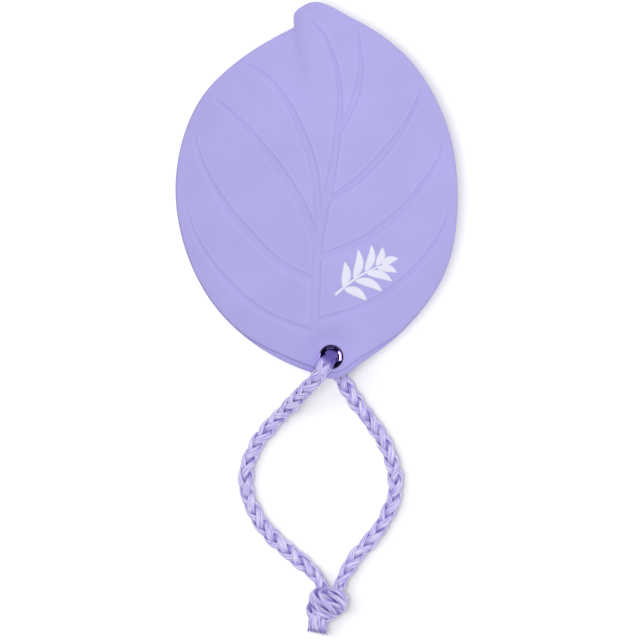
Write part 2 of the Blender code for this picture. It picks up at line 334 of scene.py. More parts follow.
def braid_material(name, deep, dark, middle, light):
    """Glossy filament yarn: fine threads along each strand, painted shade where strands dip under."""
    nodes = Nodes(name)
    strand = nodes.attribute("strand").outputs["Vector"]
    threads = nodes.noise(strand, scale=1.0, detail=3.0, roughness=0.65, stretch=(11.0, 0.40, 1.0))
    bundles = nodes.noise(strand, scale=1.0, detail=2.0, roughness=0.5, stretch=(3.4, 0.22, 1.0))
    split = nodes.node("ShaderNodeSeparateXYZ")
    nodes.link(strand, split.inputs["Vector"])
    base = nodes.ramp(bundles, (0.36, dark), (0.50, middle), (0.62, light))
    base = nodes.mix(nodes.range(threads, 0.0, 0.70, 0.50, 0.70), base, light)
    base = nodes.mix(nodes.range(threads, 0.65, 0.0, 0.30, 0.48), base, dark)
    # painted shade: the third thread coordinate blends the yarn towards the deep colour
    base = nodes.mix(nodes.range(split.outputs["Z"], 0.0, 1.0, 0.10, 1.15), base, deep)
    fine = nodes.bump(threads, strength=0.65, distance=0.00016)
    nodes.set(Base_Color=base, Roughness=nodes.range(threads, 0.30, 0.50),
              Normal=nodes.bump(bundles, strength=0.6, distance=0.0003, under=fine),
              Sheen_Weight=0.15, Sheen_Roughness=0.35, Specular_IOR_Level=0.5)
    return nodes.material


def dark_metal_material(name):
    """Almost black polished metal with fine hairline scratches."""
    nodes = Nodes(name)
    place = nodes.place()
    hairlines = nodes.noise(place, scale=1.0, detail=3.0, roughness=0.6,
                            stretch=(400.0, 400.0, 5200.0))
    patina = nodes.noise(place, scale=500.0, detail=3.0, roughness=0.5)
    base = nodes.ramp(patina, (0.35, (0.018, 0.011, 0.042)), (0.65, (0.028, 0.020, 0.058)))
    nodes.set(Base_Color=base, Roughness=nodes.range(hairlines, 0.06, 0.22),
              Normal=nodes.bump(hairlines, strength=0.12, distance=0.00003), Metallic=1.0)
    return nodes.material


def ink_material(name):
    """Thin white pad-printed ink, slightly worn."""
    nodes = Nodes(name)
    wear_and_painted_light = nodes.noise(nodes.place(), scale=1500.0, detail=4.0, roughness=0.7)
    base = nodes.ramp(wear_and_painted_light, (0.28, (0.70, 0.68, 0.92)), (0.42, (0.80, 0.79, 0.95)))
    nodes.set(Base_Color=base, Roughness=nodes.range(wear_and_painted_light, 0.38, 0.55),
              Normal=nodes.bump(wear_and_painted_light, strength=0.15, distance=0.00004))
    return nodes.material


def floor_material():
    nodes = Nodes("pale_floor")
    nodes.set(Base_Color=(0.65, 0.65, 0.65, 1.0), Roughness=0.9, Specular_IOR_Level=0.1,
              Emission_Color=(1.0, 1.0, 1.0, 1.0), Emission_Strength=0.12)
    return nodes.material


LILAC = (0.435, 0.400, 0.800)
rubber = rubber_material("grip_rubber_skin", LILAC)
tooth_rubber = rubber_material("tooth_rubber_skin", shade(LILAC, 0.96))
yarn = braid_material("lilac_yarn", deep=(0.105, 0.065, 0.42), dark=(0.37, 0.30, 0.82),
                      middle=(0.61, 0.55, 0.96), light=(0.87, 0.82, 1.0))
dark_metal = dark_metal_material("dark_metal_skin")
ink = ink_material("white_ink")


# ---------------- camera, floor and light

VIEW_WIDTH = 204.8 * MM
VIEW_OFFSET = Vector((1.0 * MM, -0.3 * MM, 0.0))
RIM_LEVEL = 9.0 * MM  # the height at which the picture's width is measured
CAMERA_HEIGHT = 1.9
LENS_SENSOR = 36.0
LIGHT_DISTANCE = 1.5
FLOOR_HALF = 3.0


def make_camera():
    """A long lens straight above the comb, as in the photo."""
    data = bpy.data.cameras.new("camera")
    camera = add_object("camera", data)
    middle = (cad_low + cad_high) / 2 + VIEW_OFFSET
    rim_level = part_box("tooth_pad")[0].z + RIM_LEVEL
    camera.location = (middle.x, middle.y, rim_level + CAMERA_HEIGHT)
    data.sensor_width = LENS_SENSOR
    data.lens = LENS_SENSOR * CAMERA_HEIGHT / VIEW_WIDTH
    data.clip_end = 20.0
    bpy.context.scene.camera = camera


def area_light(name, direction, size, power, lit=None, unlit=None, shaded_by=None):
    """A soft light that faces the comb, and may be kept to or off some of the pieces.

    lit are the only objects that it lights, unlit those that it doesn't, and shaded_by the only
    ones that throw a shadow in it.
    """
    data = bpy.data.lights.new(name, "AREA")
    data.shape = "RECTANGLE"
    data.size, data.size_y = size
    data.energy = power
    light = add_object(name, data)
    direction = Vector(direction).normalized()
    light.location = (cad_low + cad_high) / 2 + direction * LIGHT_DISTANCE
    light.rotation_mode = "QUATERNION"
    light.rotation_quaternion = direction.to_track_quat("Z", "Y")
    if lit or unlit:
        light.light_linking.receiver_collection = linked(name + "_lit", lit or unlit,
                                                         "INCLUDE" if lit else "EXCLUDE")
    if shaded_by:
        light.light_linking.blocker_collection = linked(name + "_shade", shaded_by, "INCLUDE")


def linked(name, objects, state):
    """A collection of objects for a light, each in the given state of light linking."""
    group = bpy.data.collections.new(name)
    for index, member in enumerate(objects):
        group.objects.link(member)
        group.collection_objects[index].light_linking.link_state = state
    return group


def make_floor():
    mesh = bpy.data.meshes.new("floor")
    corners = [(x * FLOOR_HALF, y * FLOOR_HALF, cad_low.z)
               for x, y in ((-1, -1), (1, -1), (1, 1), (-1, 1))]
    mesh.from_pydata(corners, [], [(0, 1, 2, 3)])
    mesh.materials.append(floor_material())
    floor = add_object("floor", mesh)
    return floor


def make_lights(floor, cords, metal):
    """Floor and comb are lit apart, and two narrow lights make the eyelet's highlight."""
    world = bpy.data.worlds.new("studio")
    bpy.context.scene.world = world
    world.use_nodes = True
    background = world.node_tree.nodes["Background"]
    background.inputs["Color"].default_value = (1.0, 1.0, 1.0, 1.0)
    background.inputs["Strength"].default_value = 0.65
    area_light("floor_light", (-0.155, -0.01, 0.99), (0.42, 0.42), 12.0, lit=[floor])
    area_light("cord_shadow_light", (-0.55, 0.12, 0.80), (0.9, 0.9), 12.0, lit=[floor],
               shaded_by=cords)
    area_light("comb_light", (0.13, 0.20, 0.96), (0.5, 0.5), 8.1, unlit=[floor])
    area_light("glint_light", (-0.76, -0.10, 0.64), (1.2, 0.35), 260.0, lit=metal,
               shaded_by=[floor])
    area_light("lip_light", (0.10, -0.75, 0.65), (1.0, 0.10), 5.0, lit=metal, shaded_by=[floor])
    bpy.context.scene.view_settings.view_transform = "Standard"


make_camera()
floor = make_floor()


# ---------------- braided cord

eyelet_low, eyelet_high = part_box("eyelet")
eyelet_centre = (eyelet_low + eyelet_high) / 2
EYELET = np.array((eyelet_centre.x, eyelet_centre.y))
BRAID_PITCH = 22.5 * MM  # one strand's full turn round the cord
CARRIERS = 4  # strands that wind each way
STRAND_HALF_WIDTH = 1.15 * MM
STRAND_HALF_HEIGHT = 0.55 * MM
BRAID_MIDDLE = 1.64 * MM  # mean radius of the strands' own centrelines
BRAID_WAVE = 0.35 * MM  # how far a strand rises and dips at each crossing
CORE_RADIUS = 1.25 * MM
CORE_SIDES = 12
SHADED_CORE = (0.5, 0.0, 1.0)  # the thread coordinates of what lies in the deepest shade
SHADED_WAY = 0.16  # painted shade on the strands that wind backwards, standing in for their duller sheen
CROSSING_STEEPNESS = 1.3  # how abruptly a strand changes between high and low
STRAND_SWAY = 0.11  # in radians round the cord
STRAND_SWELL = 0.09
THREAD_SPACING = 7.3  # sets the strands' yarn patterns apart
STRAND_SIDES = 16
BRAID_STEP = 0.40 * MM
SMOOTH_STEP = 0.3 * MM
EYELET_RELEASE = (2 * MM, 9 * MM)  # where the cord swells again after the eyelet
KNOT_GRIP = 0.22  # how much thinner the cord is where the knot grips it
KNOT_REACH = (13 * MM, 4 * MM)  # how far before the cord's end that starts and is complete

TOP_STRAND = (
    (4.5, -53.0, 12.25), (4.45, -53.05, 14.2), (4.27, -53.27, 15.7), (3.85, -53.76, 16.9),
    (3.1, -54.65, 17.95), (2.1, -56.1, 18.55), (1.1, -58.1, 18.5), (-0.5, -60.4, 17.1),
    (-2.75, -62.8, 14.4), (-5.2, -65.3, 11.2), (-7.8, -68.0, 8.0), (-11.1, -71.2, 4.8),
    (-14.9, -75.2, 3.0), (-20.1, -82.3, 2.55), (-22.8, -90.2, 2.55), (-22.1, -98.0, 2.55),
    (-18.4, -105.8, 2.55), (-13.8, -111.4, 2.6), (-7.9, -116.6, 2.9), (-2.4, -121.3, 3.6),
    (1.0, -125.2, 4.4), (2.5, -128.7, 5.0),
)
UNDER_STRAND = (
    (4.5, -53.0, 11.75), (4.5, -53.05, 7.6), (4.75, -53.65, 5.1), (5.45, -55.3, 3.3),
    (6.55, -57.6, 2.65), (8.1, -60.6, 2.55), (11.7, -66.4, 2.55), (17.2, -73.8, 2.55),
    (21.4, -80.5, 2.55), (24.2, -87.2, 2.55), (25.2, -93.0, 2.55), (24.5, -99.2, 2.55),
    (21.5, -105.8, 2.55), (17.2, -111.8, 2.55), (12.4, -117.2, 2.9), (9.1, -122.4, 3.6),
    (7.3, -126.0, 4.2), (6.2, -129.0, 5.0),
)
UPPER_TAIL = ((0.5, -135.6, 5.8), (0.1, -137.6, 6.3), (-0.1, -139.4, 6.7), (0.1, -141.3, 6.9))
LOWER_TAIL = ((1.4, -136.4, 2.55), (0.9, -137.8, 2.55), (0.4, -139.4, 2.55), (0.0, -140.6, 2.55))


def carried_frames(points, first_up=(0.0, 0.0, 1.0)):
    """Sideways and upward directions along a path, carried along it without twisting."""
    heading = unit(np.gradient(points, axis=0))
    up = np.array(first_up, dtype=float)
    if abs(heading[0] @ up) > 0.9:
        up = np.array((0.0, 1.0, 0.0))
    upward = np.empty_like(points)
    for index, along in enumerate(heading):
        up = up - along * (up @ along)
        up = up / np.linalg.norm(up)
        upward[index] = up
    return np.cross(heading, upward), upward


def place_round(path, across, upward, flatness, along, angle, radius):
    """Points at a distance along a path, an angle round it and a radius from it."""
    total = lengths_along(path)
    middle, side, up = (at_lengths(along, total, values) for values in (path, across, upward))
    squeeze = np.interp(along, total, flatness)
    return (middle + (np.cos(angle) * radius)[..., None] * unit(side)
            + (np.sin(angle) * radius * squeeze)[..., None] * unit(up))


def weave_height(crossing, carrier, turning):
    """How high a strand runs at each point, from -1 where it dips under to 1 on top."""
    phase = np.cos(pi / 2 * (crossing + 2 * carrier - 1 + turning / 2))
    return np.tanh(CROSSING_STEEPNESS * phase) / np.tanh(CROSSING_STEEPNESS)


def thread_coords(across, along, depth):
    """Texture coordinates of each vertex: across a thread, along it, and from lit to shaded."""
    return np.stack(np.broadcast_arrays(across, along, depth), axis=-1).reshape(-1, 3)


def add_braid(parts, path, across, upward, scale=1.0, flatness=1.0, pitch=BRAID_PITCH, roll=0.0,
              seed=0, recess=0.0, dulling=0.0):
    """Eight flat strands in two sets, each over two and under two of the others, round one path.

    scale, flatness and recess may change along the path: scale sizes the whole section, flatness
    presses it together along the upward direction, and recess paints shade over what lies in a
    hollow. dulling paints a little shade over the whole stretch.
    """
    along = lengths_along(path)
    scale = np.broadcast_to(scale, along.shape)
    flatness = np.broadcast_to(flatness, along.shape)
    recess = np.broadcast_to(recess, along.shape)
    rng = np.random.default_rng(seed)
    crossing = 2 * CARRIERS * along / pitch
    lean = atan(2 * pi * BRAID_MIDDLE / pitch)
    turn = circle(STRAND_SIDES)
    faces = ring_faces(len(path), STRAND_SIDES) + end_caps(len(path), STRAND_SIDES)
    out = np.where(np.sin(turn) > 0, 1.0, 0.7) * np.sin(turn)
    for turning in (1, -1):
        for carrier in range(CARRIERS):
            angle = roll + carrier * 2 * pi / CARRIERS + turning * 2 * pi * along / pitch
            sway = STRAND_SWAY * np.sin(along / MM * rng.uniform(0.25, 0.5) + rng.uniform(0, 6))
            swell = np.sin(along / MM * rng.uniform(0.3, 0.7) + rng.uniform(0, 6))
            swell = 1.0 + STRAND_SWELL * swell
            wave = weave_height(crossing, carrier, turning)
            high = BRAID_MIDDLE + BRAID_WAVE * wave
            offset = (STRAND_HALF_WIDTH * swell)[:, None] * np.cos(turn)[None, :]
            radius = (high * swell)[:, None] + STRAND_HALF_HEIGHT * out[None, :]
            verts = place_round(
                path, across, upward, flatness,
                np.clip(along[:, None] - turning * offset * sin(lean) * scale[:, None],
                        0.0, along[-1]),
                (angle + sway)[:, None] + offset * cos(lean) / high[:, None],
                radius * scale[:, None])
            verts[..., 2] = np.maximum(verts[..., 2], cad_low.z + FLOOR_GAP)
            thread = np.cos(turn) + THREAD_SPACING * (carrier + CARRIERS * (turning > 0)) + seed
            # painted shade: darker where a strand dips under and on its inner side, more on backward
            # strands, the knot and in hollows
            depth = (0.5 - 0.5 * wave)[:, None] - 0.35 * np.sin(turn)[None, :] + 0.15
            depth = np.maximum(depth + SHADED_WAY * (turning < 0) + dulling, recess[:, None])
            parts.add(verts.reshape(-1, 3), faces,
                      thread_coords(thread, along[:, None] / MM, depth))
    core = CORE_RADIUS * scale
    verts, faces = tube_mesh(path, across, upward, core, core * flatness, CORE_SIDES)
    parts.add(verts, faces, SHADED_CORE)


def cord_route(knots):
    """Evenly spaced points along the cord's centreline, from knots in millimetres."""
    dense = smooth_curve(np.array(knots) * MM, SMOOTH_STEP)
    return evenly_spaced(dense, int(lengths_along(dense)[-1] / BRAID_STEP) + 1)


def braided_strand(name, knots, roll, seed, squeeze, recess_start, recess_end):
    """A strand of the loop, squeezed in the eyelet and where the knot grips it.

    It lies in shade as far from the eyelet's axis as recess_start, and none at recess_end.
    """
    path = cord_route(knots)
    across, upward = carried_frames(path, (0.0, 1.0, 0.0))
    along = lengths_along(path)
    away = np.linalg.norm(path[:, :2] - EYELET, axis=1)
    scale = squeeze + (1.0 - squeeze) * smoothstep(*EYELET_RELEASE, along)
    scale = scale * (1.0 - KNOT_GRIP * smoothstep(along[-1] - KNOT_REACH[0],
                                                  along[-1] - KNOT_REACH[1], along))
    parts = Parts()
    add_braid(parts, path, across, upward, scale=scale, roll=roll, seed=seed,
              recess=1.1 * (1.0 - smoothstep(recess_start, recess_end, away)))
    return parts.piece(name + "_braid", yarn, LOOP, "braid", name), path


top_strand, top_path = braided_strand("cord_top_strand", TOP_STRAND, radians(22.5), 1,
                                     0.97, 1.9 * MM, 4.2 * MM)
under_strand, under_path = braided_strand("cord_under_strand", UNDER_STRAND, radians(20.0), 2,
                                         0.87, 2.0 * MM, 7.0 * MM)


# ---------------- knot and cut ends

KNOT_BAND_SCALE = 0.82  # the cord is squeezed in the knot
KNOT_BAND_FLATNESS = 0.75
KNOT_PITCH = 38.0 * MM
KNOT_DULLING = 0.14  # the knot's yarn is drawn tight and lies in its own shade
KNOT_SHELL = np.array((5.1, 3.9, 3.5)) * MM  # the turns' centrelines lie on this ellipsoid

# Each turn of the cord seen on the knot: how far it stands out from the shell, then its route in
# millimetres from the knot's centre.
KNOT_TURNS = {
    "over": (1.04, ((-2.5, 4.0, -1.0), (-3.9, 2.6, 1.5), (-3.0, 0.6, 3.0), (-0.8, -1.2, 3.4),
        (1.6, -2.8, 2.2), (3.0, -3.6, 0.0), (2.5, -3.0, -2.5), (-0.6, -0.5, -3.5),
        (-2.6, 2.4, -2.8))),
    "under": (1.00, ((-2.2, 3.6, -2.4), (-4.3, 1.8, -0.5), (-5.0, -0.6, 1.0), (-3.6, -2.9, 1.2),
        (-1.4, -3.9, 0.8), (0.8, -4.0, -0.8), (2.0, -3.0, -2.5), (0.8, -0.6, -3.5))),
    "shoulder": (0.96, ((-2.2, 1.6, 2.4), (-1.2, 2.8, 2.4), (1.0, 3.4, 2.0), (3.4, 2.6, 1.6),
        (4.8, 1.0, 0.6), (4.6, -1.0, -1.5), (2.2, -1.2, -3.2), (-1.0, 1.0, -3.4))),
    "flank": (1.00, ((-2.2, 2.4, 2.4), (-0.8, 1.6, 3.2), (1.3, 0.6, 3.3), (3.3, -0.7, 2.5),
        (4.5, -2.0, 0.9), (3.6, -3.4, -0.8), (1.4, -2.0, -3.0), (-2.0, -1.6, -3.0))),
    "cheek": (0.98, ((-2.6, 3.8, -0.6), (-3.6, 3.0, 0.4), (-4.9, 1.6, 0.6), (-4.9, 0.2, -1.2),
        (-3.4, -1.2, -2.6))),
}

# The last turn passes over the root of the cut end. Its own centre lies lower left of the knot's.
COLLAR_CENTRE = np.array((-2.2, -2.9, -0.4)) * MM
COLLAR = (0.72, ((-2.6, 2.2, -1.5), (-3.6, 0.4, 0.4), (-3.0, -1.4, 1.6), (-0.6, -2.3, 2.2),
                 (2.2, -2.6, 1.6), (3.6, -1.6, 0.2), (2.8, 0.4, -1.8)))


def add_knot_turn(parts, centre, lift, knots, roll, seed):
    """One turn of squeezed cord laid on the knot's shell, its two ends sunk into the knot."""
    route = smooth_curve(np.array(knots) * MM, SMOOTH_STEP)
    share = np.linspace(0.0, 1.0, len(route))
    sunk = 0.72 + 0.28 * smoothstep(0.0, 0.10, share) * smoothstep(0.0, 0.10, 1.0 - share)
    route = route / np.linalg.norm(route / KNOT_SHELL, axis=1)[:, None] * (lift * sunk)[:, None]
    route = evenly_spaced(route, int(lengths_along(route)[-1] / (0.7 * BRAID_STEP)))
    normal = unit(route / KNOT_SHELL ** 2)
    heading = unit(np.gradient(route, axis=0))
    across = unit(np.cross(heading, normal))
    add_braid(parts, centre + route, across, np.cross(across, heading), scale=KNOT_BAND_SCALE,
              flatness=KNOT_BAND_FLATNESS, pitch=KNOT_PITCH, roll=roll, seed=seed,
              dulling=KNOT_DULLING)


def knot_piece():
    """An overhand knot: squeezed turns of the cord over a core in painted shade."""
    low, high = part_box("cord_knot")
    centre = np.array((low + high) / 2) + np.array((0.25, 0.0, 0.0)) * MM
    parts = Parts()
    for index, (lift, knots) in enumerate(KNOT_TURNS.values()):
        add_knot_turn(parts, centre, lift, knots, 0.4 + 0.9 * index, 20 + index)
    add_knot_turn(parts, centre + COLLAR_CENTRE, *COLLAR, 0.9, 30)
    bm = bmesh.new()
    bmesh.ops.create_icosphere(bm, subdivisions=4, radius=1.0)
    core = np.array([vertex.co[:] for vertex in bm.verts])
    faces = [[vertex.index for vertex in face.verts] for face in bm.faces]
    bm.free()
    parts.add(centre + core * KNOT_SHELL * 0.90, faces, SHADED_CORE)
    return parts.piece("cord_knot_wraps", yarn, LOOP, "braid", "cord_knot")


TAIL_WIDTH = 2.55 * MM  # half the width of a cut end where it leaves the knot
TAIL_DEPTH = 2.1 * MM
TAIL_FLARE = 0.10
CUT_SLOPE = 0.32  # the cut leaves the right side longer
TAIL_RINGS = 30
PLY_SIDES = 10
PLY_RINGS = ((13, 0.80, 0.66), (5, 0.36, 0.80))  # how many, how far out, how thick
FIBRE_ROOT = 0.7 * MM  # how deep a filament starts inside its ply


def add_ply(parts, line, side, up, half_width, half_height, seed):
    """One loose bundle of filaments, rounded off at its cut end."""
    t = np.linspace(0.0, 1.0, len(line))
    taper = np.sqrt(np.clip(1.0 - ((t - 0.93) / 0.075).clip(0.0) ** 2, 0.0, 1.0)).clip(0.25)
    verts, faces = tube_mesh(line, side, up, half_width * taper, half_height * taper, PLY_SIDES)
    turn = circle(PLY_SIDES)
    verts[:, 2] = np.maximum(verts[:, 2], cad_low.z + FLOOR_GAP)
    # painted shade: darker on the underside, growing towards the cut end
    depth = 0.16 - 0.30 * np.sin(turn)[None, :] + 0.70 * (t ** 2.5)[:, None]
    along = (lengths_along(line) / MM)[:, None]
    parts.add(verts, faces, thread_coords(0.6 * np.cos(turn) + seed, along, depth))


def add_fibre(parts, tip, outward, width, side, up, heading, rng):
    """One fine filament that stands out of a ply's cut end."""
    angle, radius = rng.uniform(0, 2 * pi), width * sqrt(rng.uniform(0.05, 0.9))
    root = tip + (side * cos(angle) + up * sin(angle) * 0.7) * radius
    root = root - heading * FIBRE_ROOT
    bend = outward * rng.uniform(0.0, 0.25) + side * rng.uniform(-0.3, 0.3) * MM
    reach = rng.uniform(0.7, 1.35) * MM
    steps = np.linspace(0.0, 1.0, 5)[:, None]
    line = root + steps * reach * heading + steps ** 2 * bend
    line[:, 2] = np.maximum(line[:, 2], cad_low.z + 0.12 * MM)
    across, upward = carried_frames(line, (0.0, 0.3, 1.0))
    thickness = np.linspace(0.13, 0.06, 5) * MM
    verts, faces = tube_mesh(line, across, upward, thickness, thickness, 5)
    # painted shade: the filaments take a middle depth of shade
    parts.add(verts, faces, (rng.uniform(0, 40), 0.0, 0.6))


def frayed_tail(name, knots, fibres, seed):
    """A short cut end: its braid has opened into loose plies and their filaments fray."""
    path = cord_route(knots)
    lead = path[:1] - unit(path[1:2] - path[:1]) * np.linspace(3.0, 0.4, 7)[:, None] * MM
    path = evenly_spaced(np.vstack([lead, path]), TAIL_RINGS)
    across, upward = carried_frames(path)
    t = np.linspace(0.0, 1.0, len(path))
    flare = 0.90 + TAIL_FLARE * smoothstep(0.2, 0.6, t) + TAIL_FLARE * smoothstep(0.75, 1.0, t)
    length = lengths_along(path)[-1]
    heading = unit(path[-1] - path[-2])
    rng = np.random.default_rng(seed)
    parts = Parts()
    places = [(angle, radius, size) for count, radius, size in PLY_RINGS for angle in circle(count)]
    tips = []
    for angle, radius, size in places:
        angle = angle + rng.uniform(-0.10, 0.10)
        sway = 0.12 * np.sin(t * rng.uniform(3.0, 6.0) + rng.uniform(0, 6))
        x = TAIL_WIDTH * radius * np.cos(angle + sway) * flare
        z = TAIL_DEPTH * radius * np.sin(angle + sway) * flare
        reach = 1.0 - (0.55 + CUT_SLOPE * x[-1] / MM + rng.uniform(-0.4, 0.4)) * MM / length
        line = path + across * x[:, None] + upward * z[:, None]
        line = line - heading * ((1.0 - reach) * length * t)[:, None]
        width = rng.uniform(0.9, 1.15) * size * MM
        add_ply(parts, line, across, upward, width, width * 0.72, rng.uniform(0, 60))
        tips.append((line[-1], across[-1] * x[-1] + upward[-1] * z[-1], width))
    for index in range(fibres):
        add_fibre(parts, *tips[index % len(tips)], across[-1], upward[-1], heading, rng)
    return parts.piece(name + "_frayed", yarn, LOOP, "braid", name)


knot = knot_piece()
upper_tail = frayed_tail("cord_tail_upper", UPPER_TAIL, 220, 7)
lower_tail = frayed_tail("cord_tail_lower", LOWER_TAIL, 140, 8)


# ---------------- leaf form

cover_low, cover_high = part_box("leaf_cover")
pad_low, pad_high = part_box("tooth_pad")
CAD_INSET = (cover_high.x - cover_low.x) / (pad_high.x - pad_low.x)
DOME_RISE = cover_high.z - cover_low.z
SHOULDER = 2.4 * MM  # height of the cover's edge
EDGE_REACH = 1.0 * MM  # how far in from the edge the shoulder is rounded
EDGE_DROP = 0.9 * MM  # how far the rounding brings the edge down
SEAM_FLATTENING = 0.95  # how much less it does beside the pad's rim
RIM_HEIGHT = 2.33 * MM  # the pad's rim beside the cover, above the cover's underside
FLUSH_INSET = 0.991
CAVITY_SCALE = 0.78
COVER_WALL = 3.2 * MM
OUTLINE_COUNT = 1120
SURFACE_RINGS = 215
MEAN_RADIUS = 50.0  # in millimetres, turns a distance inside the edge to a share
BEARINGS = 1440
EASING_STEPS = 16  # how many bearings the leaf's extent is eased over
EDGE_INSETS = (0.0, 0.05, 0.12, 0.22, 0.36, 0.55, 0.8, 1.05, 1.3, 1.6, 1.9)
GRID_CENTRE = np.array((6.0, 0.0)) * MM  # every edge point can be seen from here
BARREL_RADIUS = 3.5 * MM
HOLE_PLAY = 0.15 * MM
LIP_RADIUS = (eyelet_high.x - eyelet_low.x) / 2
LIP_HEIGHT = 0.6 * MM
SEAT_SPREAD = 4.8 * MM  # how far round the eyelet the cover is levelled
SEAT_LEVEL = eyelet_high.z - LIP_HEIGHT - 0.3 * MM

OUTLINE_KNOTS = (
    (-7.4, 52.3), (-7.3, 56.6), (-3.0, 60.0), (12.0, 54.9), (29.8, 41.8), (41.6, 21.0),
    (45.0, -2.0), (41.2, -25.4), (27.4, -44.8), (15.2, -54.3), (5.6, -60.0), (-3.8, -57.3),
    (-21.4, -47.9), (-31.6, -38.2), (-42.9, -16.0), (-45.2, 3.0), (-36.0, 31.2),
    (-25.3, 41.6), (-14.7, 48.5), (-7.4, 52.3),
)

# Each vein's centreline in millimetres from its root to its tip, then its half width at the
# root, at the middle and at the tip.
VEINS = {
    "midrib": (((0.3, -50.2), (-0.7, -44.0), (-0.4, -32.0), (0.1, -20.0), (2.2, -6.0), (4.8, 6.0),
        (6.5, 18.0), (7.3, 31.0), (5.4, 42.0), (1.6, 50.6), (-3.0, 55.6)), (1.35, 1.35, 0.15)),
    "left_1": (((-0.8, -45.2), (-16.4, -38.9), (-32.6, -23.9), (-38.4, -15.0), (-41.8, -5.4)),
        (0.85, 0.75, 0.10)),
    "left_2": (((0.4, -29.6), (-12.6, -22.6), (-22.2, -13.2), (-30.8, -2.0), (-36.8, 9.6),
        (-39.3, 18.6)), (1.00, 1.25, 0.15)),
    "left_3": (((0.4, -18.0), (-4.4, -5.8), (-10.8, 5.2), (-18.8, 15.8), (-25.2, 23.0),
        (-32.2, 29.4)), (1.10, 1.30, 0.15)),
    "left_4": (((0.4, -10.0), (-1.0, 7.0), (-5.6, 20.2), (-10.4, 29.6), (-15.4, 36.0),
        (-22.2, 40.6)), (1.05, 1.10, 0.15)),
    "right_1": (((-0.4, -41.6), (13.6, -37.2), (25.0, -30.4), (34.9, -20.2), (40.4, -11.2),
        (43.2, -1.6)), (0.85, 0.75, 0.10)),
    "right_2": (((-0.2, -21.6), (15.9, -14.8), (27.3, -5.6), (35.2, 4.4), (39.1, 11.0),
        (40.6, 17.2)), (0.80, 1.00, 0.12)),
    "right_3": (((2.4, -4.0), (14.2, 4.4), (22.0, 12.8), (29.0, 22.7), (32.1, 29.2), (33.6, 35.6)),
        (0.70, 1.05, 0.12)),
    "right_4": (((6.6, 17.6), (12.0, 29.2), (13.9, 37.0), (13.7, 45.0), (13.0, 51.4)),
        (0.70, 1.00, 0.12)),
}
VEIN_DEPTH = 0.34 * MM
VEIN_WALL = 0.36 * MM  # half the width of a vein's sloping side
VEIN_BRIM = 0.75 * MM  # where the painted highlight beside each vein runs
BRIM_SPREAD = 0.36 * MM
FOLD = ((-7.6, 53.2), (-6.2, 44.0), (-3.6, 35.0), (0.4, 26.0))
FOLD_RISE = 0.9 * MM
FOLD_SINK = 0.35 * MM


def leaf_outline(count):
    """The pad's outline: count points, clockwise from the notch beside the tip."""
    return evenly_spaced(flat_curve(OUTLINE_KNOTS, 0.4 * MM), count + 1)[:-1, :2]


def distance_to_path(points, path):
    """Each point's distance to a path, the side it lies on, and how far along the nearest is."""
    along = lengths_along(path)
    best = np.full(len(points), 1e9)
    side = np.zeros(len(points))
    share = np.zeros(len(points))
    for index in range(len(path) - 1):
        start = path[index, :2]
        span = path[index + 1, :2] - start
        length = np.linalg.norm(span)
        offset = points - start
        t = np.clip(offset @ span / length ** 2, 0.0, 1.0)
        gap = offset - t[:, None] * span
        distance = np.linalg.norm(gap, axis=1)
        nearer = distance < best
        best[nearer] = distance[nearer]
        side[nearer] = np.sign(span[0] * offset[nearer, 1] - span[1] * offset[nearer, 0])
        share[nearer] = (along[index] + t[nearer] * length) / along[-1]
    return best, side, share


def vein_relief(points):
    """How deep each point lies in a sunken vein, from 0 to 1, and how near to a vein's brim."""
    edge = np.full(len(points), 1.0)
    for knots, half_widths in VEINS.values():
        path = flat_curve(knots, 0.7 * MM)
        reach = 3 * MM
        near = np.all((points > path[:, :2].min(0) - reach)
                      & (points < path[:, :2].max(0) + reach), axis=1)
        distance, _, share = distance_to_path(points[near], path)
        half = np.interp(share, (0.0, 0.45, 1.0), half_widths) * MM
        edge[near] = np.minimum(edge[near], distance - half)
    return (1.0 - smoothstep(-VEIN_WALL, VEIN_WALL, edge),
            np.exp(-((edge - VEIN_BRIM) / BRIM_SPREAD) ** 2))


def fold_height(points):
    """The tip's right half curls up along a line that runs in from the notch."""
    path = flat_curve(FOLD, 1.0 * MM)
    distance, side, share = distance_to_path(points, path)
    signed = distance * side / MM
    strength = (1.0 - smoothstep(0.0, 1.0, share)) ** 1.2
    raised = smoothstep(-1.2, 3.2, signed) * np.exp(-(np.maximum(signed, 0.0) / 11.0) ** 2)
    valley = np.exp(-((signed + 0.4) / 1.8) ** 2)
    return strength * (FOLD_RISE * raised - FOLD_SINK * valley)


def dome_height(share):
    """Height of the cover's outside above its underside; share is 1 on its outline."""
    inward = np.clip(1.0 - share ** 2, 0.0, 1.0)
    return SHOULDER + (DOME_RISE - SHOULDER) * inward ** 0.8


def rounded_edge(inset):
    """How far the shoulder's rounding lowers the surface at this distance inside the edge."""
    short = np.clip(1.0 - inset / EDGE_REACH, 0.0, 1.0)
    return EDGE_DROP * (1.0 - np.sqrt(np.maximum(1.0 - short ** 2.2, 0.0)))


def spread(points):
    """Share of the leaf's extent in each point's direction, eased across the notch."""
    outline = leaf_outline(BEARINGS)
    bearing = np.arctan2(outline[:, 1], outline[:, 0])
    order = np.argsort(bearing)
    even = np.linspace(-pi, pi, BEARINGS + 1)[:-1]
    reach = np.interp(even, bearing[order], np.linalg.norm(outline[order], axis=1), period=2 * pi)
    steps = np.arange(-3 * EASING_STEPS, 3 * EASING_STEPS + 1)
    weights = np.exp(-(steps / EASING_STEPS) ** 2)
    eased = sum(weight * np.roll(reach, step) for weight, step in zip(weights, steps))
    eased = eased / weights.sum()
    return np.linalg.norm(points, axis=1) / np.interp(np.arctan2(points[:, 1], points[:, 0]),
                                                      even, eased, period=2 * pi)


